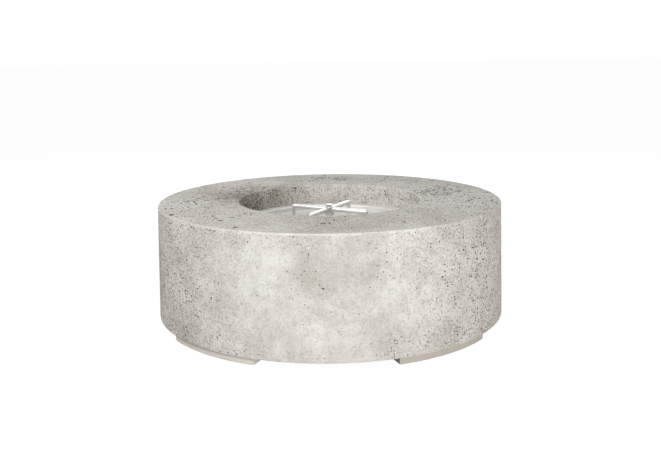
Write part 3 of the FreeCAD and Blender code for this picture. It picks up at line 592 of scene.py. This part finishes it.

# Marks that dried paler (+) or darker (-) than the rest, with marks of painted shade (-) and
# painted light (+) among them
DRYING_AND_SHADING_MARKS = (
    # Painted shade: the wall is darkened along its left and right edges, where it turns from the
    # light
    (Vector((-0.580, -0.17, 0.241)), 0.080, -0.70),
    (Vector((-0.580, -0.17, 0.101)), 0.080, -0.70),
    (Vector((0.595, -0.12, 0.161)), 0.100, -0.30),
    (Vector((-0.40, -0.46, 0.151)), 0.070, -0.15),
    (Vector((-0.44, -0.42, 0.041)), 0.060, -0.25),
    (Vector((-0.06, -0.60, 0.271)), 0.040, -0.35),
    (Vector((0.02, -0.60, 0.251)), 0.035, -0.25),
    (Vector((0.14, -0.59, 0.261)), 0.045, -0.30),
    (Vector((0.47, -0.38, 0.331)), 0.050, -0.15),
    (Vector((0.48, -0.37, 0.200)), 0.150, 0.30),
    (Vector((-0.50, -0.35, 0.200)), 0.120, 0.25),
    (Vector((0.50, -0.06, 0.390)), 0.130, 0.75),
    (Vector((-0.36, 0.40, 0.390)), 0.140, 0.55),
    (Vector((0.36, -0.49, 0.041)), 0.060, -0.35),
    (Vector((0.19, -0.57, 0.041)), 0.060, -0.30),
    (Vector((-0.43, 0.10, 0.390)), 0.090, -0.20),
    (Vector((0.02, -0.47, 0.390)), 0.150, -0.50),
    # Painted shade: the recess's left wall is darkened where the lip shades it
    (Vector((-0.32, 0.05, 0.341)), 0.110, -1.90),
    (Vector((-0.24, 0.22, 0.341)), 0.100, -0.45),
    (Vector((0.53, -0.29, 0.181)), 0.070, 0.30),
    (Vector((-0.31, -0.52, 0.041)), 0.060, 0.30),
    (Vector((-0.18, -0.58, 0.271)), 0.120, 0.25),
    (Vector((0.21, -0.57, 0.311)), 0.080, 0.35),
    (Vector((0.28, -0.54, 0.141)), 0.090, 0.35),
    (Vector((-0.03, -0.60, 0.101)), 0.070, 0.25),
    (Vector((-0.35, -0.50, 0.221)), 0.040, 0.45),
    (Vector((-0.47, -0.37, 0.371)), 0.045, 0.60),
    (Vector((-0.50, -0.08, 0.390)), 0.100, 0.90),
    # Painted light: the recess's right and back walls are made paler where the light falls on them
    (Vector((0.26, 0.18, 0.341)), 0.110, 0.55),
    (Vector((0.00, 0.32, 0.341)), 0.100, 0.20),
)

# Marks where the top edge and the lip are rubbed pale and carry a painted highlight
RUBBED_AND_HIGHLIGHT_MARKS = (
    (Vector((-0.12, -0.59, 0.390)), 0.350, 0.70),
    (Vector((-0.47, -0.37, 0.390)), 0.080, 0.40),
    (Vector((0.31, 0.07, 0.390)), 0.110, 2.50),
)

# Marks where the mould's face was close and the concrete is dense (+), with little grain and few
# air holes, or where it is coarser (-)
DENSE_MARKS = (
    (Vector((-0.02, -0.60, 0.190)), 0.460, 1.20),
    (Vector((0.00, -0.42, 0.420)), 0.170, -0.55),
    (Vector((-0.54, 0.28, 0.190)), 0.280, 0.85),
    (Vector((0.50, 0.35, 0.170)), 0.280, 0.85),
    (Vector((-0.05, 0.60, 0.210)), 0.300, 0.85),
    (Vector((0.08, 0.31, 0.340)), 0.180, 0.35),
)


def gathered(marks, point):
    """Sum of the soft marks at a point."""
    spot = point - DRUM_FOOT
    return sum(
        amount * math.exp(-((spot - place).length / reach) ** 2)
        for place, reach, amount in marks)


def grain_at(point):
    """How coarse the surface is at a point, from 0 where it is dense to 1 and over."""
    return max(0.0, 1.0 - gathered(DENSE_MARKS, point))


def patches(point):
    """Share of a mark of drying, painted shade or painted light at a point, which breaks it into
    patches.
    """
    return max(0.0, 1.0 + DRYING_AND_SHADING_CONTRAST * noise.noise(point * per_metre(DRYING_AND_SHADING_MM)))


def scattered_air(point):
    """Share of the cells at a point that hold an air hole, away from the clusters."""
    patchy = max(0.0, 1.0 + AIRY_CONTRAST * noise.noise(point * per_metre(AIRY_MM)))
    return sizes().pit_share * patchy * (DENSE_AIR + grain_at(point))


class DrumSkin:
    """Grid round the drum, with some of its cells opened into air holes."""

    def __init__(self):
        s = sizes()
        self.segments = s.segments
        self.rows = section_rows(drum_corners())
        self.points = []
        self.pit = []
        self.worn_and_highlight = []
        self.faces = []
        self.rims = set()
        self.chance = random.Random(s.seed)

    def lay_points(self):
        """Points of the grid, dipped below the true section by waviness and by chipped edges."""
        s = sizes()
        count = len(self.rows)
        for i, (here, holes, bend) in enumerate(self.rows):
            along = (self.rows[(i + 1) % count][0] - self.rows[i - 1][0]).normalized()
            before = self.rows[i - ARC_STEPS][1] != NO_HOLES
            after = self.rows[(i + ARC_STEPS) % count][1] != NO_HOLES
            edge = holes == NO_HOLES and (before or after)
            shown = edge or holes != NO_HOLES or self.rows[i - 1][1] != NO_HOLES
            standing = here.y <= DRUM_BASE + s.arris / 2
            rubbed_and_highlit = edge and before and after
            stray = STRAY if holes != NO_HOLES and self.rows[i - 1][1] != NO_HOLES else 0.0
            for j in range(self.segments):
                turn = 2 * math.pi * (j + stray * self.chance.uniform(-1, 1)) / self.segments
                place = here + along * (s.cell * stray * self.chance.uniform(-1, 1))
                around = Vector((math.cos(turn), math.sin(turn), 0.0))
                point = around * place.x + Vector((0.0, 0.0, place.y))
                outward = around * along.y - Vector((0.0, 0.0, along.x))
                if shown and not standing:
                    dip = s.waviness * (0.5 + 0.5 * noise.noise(point * per_metre(DIP_MM)))
                    if edge:
                        chipped = noise.noise(point * per_metre(CHIP_MM)) - CHIP_LEVEL
                        dip += s.chip * max(0.0, chipped)
                    point -= outward * dip
                # Rubbed edges are paler, with a painted highlight that is strongest in the middle
                # of their rounding
                rub_and_highlight = 0.0
                if rubbed_and_highlit:
                    rub_and_highlight = gathered(RUBBED_AND_HIGHLIGHT_MARKS, point)
                    rub_and_highlight *= 1.0 + noise.noise(point * per_metre(RUB_AND_HIGHLIGHT_MM))
                self.points.append(tuple(point))
                self.pit.append(0.0)
                self.worn_and_highlight.append(min(1.0, rub_and_highlight * bend))

    def corner(self, i, j):
        """Index of a grid point."""
        return (i % len(self.rows)) * self.segments + j % self.segments

    def square(self, i, j):
        """Corners of a cell."""
        way_round = ((0, 0), (0, 1), (1, 1), (1, 0))
        return tuple(self.corner(i + a, j + b) for a, b in way_round)

    def lay_cells(self):
        """Faces of the grid; air opens a pit in one cell, or a crater in a block of cells."""
        taken = set()
        for i, (_, (thickness, craters), _) in enumerate(self.rows):
            for j in range(self.segments):
                if (i, j) in taken:
                    continue
                cell = self.square(i, j)
                if thickness == 0.0:
                    self.faces.append(cell)
                    continue
                spot = Vector(self.points[cell[0]])
                air = gathered(AIR_CLUSTERS, spot)
                if self.chance.random() > min(MOST_AIR, air + scattered_air(spot) * thickness):
                    self.faces.append(cell)
                    continue
                down, along = self.crater_block(j)
                block = {(i + a, j + b) for a in range(down) for b in range(along)}
                in_strip = all(self.rows[i + a][1] != NO_HOLES for a in range(down))
                room = in_strip and j + along <= self.segments and not taken & block
                gaping = craters * min(1.0, LONE_CRATERS + MORE_CRATERS * air)
                if room and self.chance.random() < gaping:
                    taken |= block
                    self.open_crater(i, j, down, along)
                else:
                    self.open_pit(cell, air + grain_at(spot))

    def crater_block(self, j):
        """Rows and columns of a crater's block, longest front to back, as the top was struck."""
        sideways = abs(math.cos(2 * math.pi * j / self.segments))
        if sideways > CRATER_ALONG:
            return 1, 3
        return (2, 2) if sideways > CRATER_ACROSS else (3, 1)

    def hole(self, loop, blunt, smallest, largest, bottom):
        """Sides and bottom of an irregular hole in a loop of points; returns its first rim point.

        Blunt holds the places in the loop that are corners, which the hole cuts off. Bottom is the
        grid point that becomes the hole's bottom, or None where the hole needs a new one.
        """
        middle = sum(loop, Vector()) / HOLE_POINTS
        half = min((point - middle).length for point in loop)
        size = min(HOLE_MOST, (smallest + (largest - smallest) * self.chance.random()) / half)
        middle += (self.chance.choice(loop) - middle) * self.chance.uniform(0.0, HOLE_MOST - size)
        outward = (loop[2] - loop[6]).cross(loop[4] - loop[0]).normalized()
        deep = half * size * self.chance.uniform(*HOLE_DEPTH)
        rim = []
        for k, point in enumerate(loop):
            reach = size * self.chance.uniform(*RIM_REACH) * (CORNER_REACH if k in blunt else 1.0)
            rim.append((point - middle) * reach)
        start = len(self.points)
        for shrink, sink, tone in HOLE_RINGS:
            self.points += [tuple(middle + spoke * shrink - outward * deep * sink) for spoke in rim]
            self.pit += [tone] * HOLE_POINTS
            self.worn_and_highlight += [0.0] * HOLE_POINTS
        if bottom is None:
            bottom = len(self.points)
            self.points.append(None)
            self.pit.append(None)
            self.worn_and_highlight.append(0.0)
        self.points[bottom] = tuple(middle - outward * deep)
        self.pit[bottom] = 1.0
        last = start + HOLE_POINTS * (len(HOLE_RINGS) - 1)
        for k in range(HOLE_POINTS):
            ahead = (k + 1) % HOLE_POINTS
            for ring in range(start, last, HOLE_POINTS):
                deeper = ring + HOLE_POINTS
                self.faces.append((ring + k, ring + ahead, deeper + ahead, deeper + k))
            self.faces.append((last + k, last + ahead, bottom))
            self.rims.add((min(start + k, start + ahead), max(start + k, start + ahead)))
        return start

    def open_pit(self, cell, coarse):
        """Hole in one cell, larger where the surface is coarse, and the flat ring round it."""
        s = sizes()
        loop = []
        for k in range(4):
            here, ahead = (Vector(self.points[cell[m % 4]]) for m in (k, k + 1))
            loop += [here, (here + ahead) / 2]
        largest = s.pit_largest * (DENSE_PIT + (1.0 - DENSE_PIT) * min(COARSEST, coarse))
        start = self.hole(loop, range(0, HOLE_POINTS, 2), s.pit_smallest, largest, None)
        for k in range(4):
            here, ahead = cell[k], cell[(k + 1) % 4]
            first, second, third = (start + (2 * k + m) % HOLE_POINTS for m in range(3))
            self.faces += [(here, ahead, second), (here, second, first), (ahead, third, second)]

    def open_crater(self, i, j, down, along):
        """Hole in a block with HOLE_POINTS on its border; a square block's middle is the bottom."""
        s = sizes()
        way_round = [(0, b) for b in range(along)] + [(a, along) for a in range(down)]
        way_round += [(down, b) for b in range(along, 0, -1)] + [(a, 0) for a in range(down, 0, -1)]
        border = [self.corner(i + a, j + b) for a, b in way_round]
        blunt = [k for k, (a, b) in enumerate(way_round) if a in (0, down) and b in (0, along)]
        loop = [Vector(self.points[k]) for k in border]
        bottom = self.corner(i + 1, j + 1) if down == along else None
        start = self.hole(loop, blunt, s.crater_smallest, s.crater_largest, bottom)
        for k in range(HOLE_POINTS):
            ahead = (k + 1) % HOLE_POINTS
            self.faces.append((border[k], border[ahead], start + ahead, start + k))


class FIRE_BOWL_OT_concrete_drum(bpy.types.Operator):
    """Cast the pitted drum over the frame's plain one"""

    bl_idname = "fire_bowl.concrete_drum"
    bl_label = "Concrete drum"

    def execute(self, context):
        skin = DrumSkin()
        skin.lay_points()
        skin.lay_cells()
        drum = new_piece("cast_drum", skin.points, skin.faces, cast_concrete(), "bowl")
        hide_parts("concrete_drum")
        spots = [Vector(point) for point in skin.points]
        # Drying marks, with the painted shade and light of the wall's edges and of the recess
        drying_and_shading = [gathered(DRYING_AND_SHADING_MARKS, spot) * patches(spot) for spot in spots]
        grain = [grain_at(spot) for spot in spots]
        clusters = [gathered(AIR_CLUSTERS, spot) for spot in spots]
        air = [cluster + COARSE_AIR * coarse for cluster, coarse in zip(clusters, grain)]
        surface = {"pit": skin.pit, "worn_and_highlight": skin.worn_and_highlight, "drying_and_shading": drying_and_shading, "grain": grain, "air": air}
        for name, values in surface.items():
            drum.data.attributes.new(name, "FLOAT", "POINT").data.foreach_set("value", values)
        sharp = [tuple(sorted(edge.vertices)) in skin.rims for edge in drum.data.edges]
        drum.data.edges.foreach_set("use_edge_sharp", sharp)
        return {"FINISHED"}


class FIRE_BOWL_OT_feet(bpy.types.Operator):
    """Finish the four low feet"""

    bl_idname = "fire_bowl.feet"
    bl_label = "Feet"

    def execute(self, context):
        c = colours()
        left = smooth_concrete("smooth_concrete", c.foot, c.foot_dark)
        # Painted shade: the right feet get a darker copy of the feet's material
        right = smooth_concrete("smooth_concrete_shaded", c.foot_shaded, c.foot_shaded_dark)
        for quarter in QUARTERS:
            dress(["foot_" + quarter], right if quarter.endswith("right") else left)
        return {"FINISHED"}


class FIRE_BOWL_OT_burner(bpy.types.Operator):
    """Finish the pan, the burner cross and its stands"""

    bl_idname = "fire_bowl.burner"
    bl_label = "Burner"

    def execute(self, context):
        dress(["burner_pan"], spun_stainless())
        steel = [
            "burner_hub", "hub_plug", "riser_nipple", "riser_top_nut", "riser_top_washer",
            "riser_bottom_nut", "riser_bottom_washer", "stand_end_screws",
            "valve_ball", "valve_stem"]
        for part in ("burner_arm_", "arm_end_plug_", "arm_stand_"):
            steel += [part + quarter for quarter in QUARTERS]
        dress(steel, drawn_stainless())
        return {"FINISHED"}


class FIRE_BOWL_OT_gas_line(bpy.types.Operator):
    """Finish the brass gas line, its valve and the lever"""

    bl_idname = "fire_bowl.gas_line"
    bl_label = "Gas line"

    def execute(self, context):
        brass = [
            "air_mixer", "gas_orifice", "inlet_elbow", "valve_body", "valve_end_piece",
            "inlet_fitting", "foot_inserts"]
        dress(brass, machined_brass())
        dress(["valve_seats"], moulded_ptfe())
        dress(["valve_lever"], dipped_lever())
        return {"FINISHED"}


class FIRE_BOWL_OT_fasteners(bpy.types.Operator):
    """Finish the screws and nuts"""

    bl_idname = "fire_bowl.fasteners"
    bl_label = "Fasteners"

    def execute(self, context):
        dress(["foot_screws", "stand_foot_screws", "stand_foot_nuts", "lever_nut"], zinc_plate())
        return {"FINISHED"}


# Camera of the photograph, from the outlines of the drum's top, wall and base, with its angles in
# radians and its lens in mm
CAMERA_DISTANCE = 2.984
CAMERA_HEIGHT = 0.931
CAMERA_ASIDE = 0.002
CAMERA_TURN = math.radians(1.5)
CAMERA_PITCH = 0.21614
CAMERA_ROLL = -0.01372
CAMERA_LENS = 46.48
CAMERA_REACH = 200.0

# Floor's half width, the share and strength of its glow to seen rays, and the sky's light
FLOOR_HALF = 60.0
FLOOR_GLOW_SHARE = 0.8
FLOOR_GLOW = 1.2
SKY_LIGHT = 0.20
# Reflections see the white background up to their second bounce
SEEN_DEPTH = 2.5

# Soft boxes: name, place, width, height, power in watts
SOFT_BOXES = (
    ("key_light", (-1.94, -2.57, 2.92), 1.6, 1.6, 90.0),
    ("overhead_light", (0.0, -1.78, 4.03), 1.6, 1.6, 22.0),
    ("low_right_light", (2.0, -3.46, 0.43), 1.6, 0.8, 71.0),
    ("back_light", (0.71, 4.02, 2.12), 2.0, 1.2, 25.0),
    ("low_back_left_light", (-1.37, 3.75, 0.43), 1.6, 0.8, 40.0),
    ("low_back_right_light", (1.37, 3.75, 0.43), 1.6, 0.8, 40.0),
)


def seen_rays(tree):
    """1 for camera rays, and for glossy and transmission rays soon after them."""
    path = add(tree, "ShaderNodeLightPath")
    either = add(tree, "ShaderNodeMath", {
        0: path.outputs["Is Glossy Ray"],
        1: path.outputs["Is Transmission Ray"]}, operation="MAXIMUM")
    soon = add(tree, "ShaderNodeMath", {
        0: path.outputs["Ray Depth"], 1: SEEN_DEPTH}, operation="LESS_THAN")
    shown = add(tree, "ShaderNodeMath", {
        0: either.outputs["Value"], 1: soon.outputs["Value"]}, operation="MULTIPLY")
    seen = add(tree, "ShaderNodeMath", {
        0: path.outputs["Is Camera Ray"], 1: shown.outputs["Value"]}, operation="MAXIMUM")
    return seen.outputs["Value"]


class FIRE_BOWL_OT_stage(bpy.types.Operator):
    """Set the white floor, the soft light and the photograph's camera"""

    bl_idname = "fire_bowl.stage"
    bl_label = "Stage"

    def execute(self, context):
        self.lay_floor()
        self.light_world()
        for soft_box in SOFT_BOXES:
            self.hang_soft_box(*soft_box)
        self.set_camera()
        context.scene.view_settings.view_transform = "Standard"
        return {"FINISHED"}

    def lay_floor(self):
        """White floor that glows for seen rays, so only the object's shadow marks it."""
        mesh = bpy.data.meshes.new("floor")
        way_round = ((-1, -1), (1, -1), (1, 1), (-1, 1))
        corners = [(FLOOR_HALF * x, FLOOR_HALF * y, 0.0) for x, y in way_round]
        mesh.from_pydata(corners, [], [(0, 1, 2, 3)])
        material = bpy.data.materials.new("white_floor")
        material.use_nodes = True
        tree = material.node_tree
        tree.nodes.clear()
        paint = add(tree, "ShaderNodeBsdfDiffuse", {"Color": linear(colours().floor)})
        glow = add(tree, "ShaderNodeEmission", {
            "Color": linear(colours().white), "Strength": FLOOR_GLOW})
        share = add(tree, "ShaderNodeMath", {
            0: seen_rays(tree), 1: FLOOR_GLOW_SHARE}, operation="MULTIPLY")
        both = add(tree, "ShaderNodeMixShader", {
            0: share.outputs["Value"], 1: paint.outputs["BSDF"], 2: glow.outputs["Emission"]})
        add(tree, "ShaderNodeOutputMaterial", {"Surface": both.outputs["Shader"]})
        mesh.materials.append(material)
        floor = bpy.data.objects.new("floor", mesh)
        bpy.context.scene.collection.objects.link(floor)

    def light_world(self):
        """Even sky light, white to seen rays."""
        world = bpy.data.worlds.new("studio")
        world.use_nodes = True
        tree = world.node_tree
        tree.nodes.clear()
        strength = add(tree, "ShaderNodeMapRange", {
            "Value": seen_rays(tree), "To Min": SKY_LIGHT, "To Max": 1.0})
        sky = add(tree, "ShaderNodeBackground", {
            "Color": linear(colours().white), "Strength": strength.outputs["Result"]})
        add(tree, "ShaderNodeOutputWorld", {"Surface": sky.outputs["Background"]})
        bpy.context.scene.world = world

    def hang_soft_box(self, name, place, width, height, power):
        """Rectangular lamp aimed at the drum's middle."""
        lamp = bpy.data.lights.new(name, "AREA")
        lamp.shape = "RECTANGLE"
        lamp.size = width
        lamp.size_y = height
        lamp.energy = power
        box = bpy.data.objects.new(name, lamp)
        bpy.context.scene.collection.objects.link(box)
        box.location = place
        aim = Vector((0.0, 0.0, (DRUM_BASE + DRUM_TOP) / 2)) - box.location
        box.rotation_euler = aim.to_track_quat("-Z", "Y").to_euler()

    def set_camera(self):
        """Camera at the photograph's place, lens and tilt."""
        lens = bpy.data.cameras.new("photo_camera")
        lens.lens = CAMERA_LENS
        lens.clip_end = CAMERA_REACH
        camera = bpy.data.objects.new("photo_camera", lens)
        bpy.context.scene.collection.objects.link(camera)
        turn = Matrix.Rotation(CAMERA_TURN, 4, "Z")
        stand = Matrix.Translation((CAMERA_ASIDE, -CAMERA_DISTANCE, CAMERA_HEIGHT))
        tilt = Matrix.Rotation(math.pi / 2 - CAMERA_PITCH, 4, "X")
        roll = Matrix.Rotation(CAMERA_ROLL, 4, "Z")
        camera.matrix_world = turn @ stand @ (tilt @ roll)
        bpy.context.scene.camera = camera


PIECES = (
    FIRE_BOWL_OT_concrete_drum,
    FIRE_BOWL_OT_feet,
    FIRE_BOWL_OT_burner,
    FIRE_BOWL_OT_gas_line,
    FIRE_BOWL_OT_fasteners,
    FIRE_BOWL_OT_stage,
)


class FIRE_BOWL_PT_pieces(bpy.types.Panel):
    """Buttons that build the fire bowl's finish"""

    bl_idname = "FIRE_BOWL_PT_pieces"
    bl_label = "Fire Bowl"
    bl_space_type = "VIEW_3D"
    bl_region_type = "UI"
    bl_category = "Fire Bowl"

    def draw(self, context):
        for piece in PIECES:
            self.layout.operator(piece.bl_idname)


CLASSES = (FireBowlSizes, FireBowlColours) + PIECES + (FIRE_BOWL_PT_pieces,)


def register():
    """Register the classes and hang the settings on the scene."""
    for cls in CLASSES:
        bpy.utils.register_class(cls)
    bpy.types.Scene.fire_bowl_sizes = bpy.props.PointerProperty(type=FireBowlSizes)
    bpy.types.Scene.fire_bowl_colours = bpy.props.PointerProperty(type=FireBowlColours)


def unregister():
    """Take the settings and the classes away again."""
    del bpy.types.Scene.fire_bowl_colours
    del bpy.types.Scene.fire_bowl_sizes
    for cls in reversed(CLASSES):
        bpy.utils.unregister_class(cls)


def main():
    """Register the classes and build every piece in order."""
    register()
    bpy.ops.fire_bowl.concrete_drum()
    bpy.ops.fire_bowl.feet()
    bpy.ops.fire_bowl.burner()
    bpy.ops.fire_bowl.gas_line()
    bpy.ops.fire_bowl.fasteners()
    bpy.ops.fire_bowl.stage()


if __name__ == "__main__":
    main()
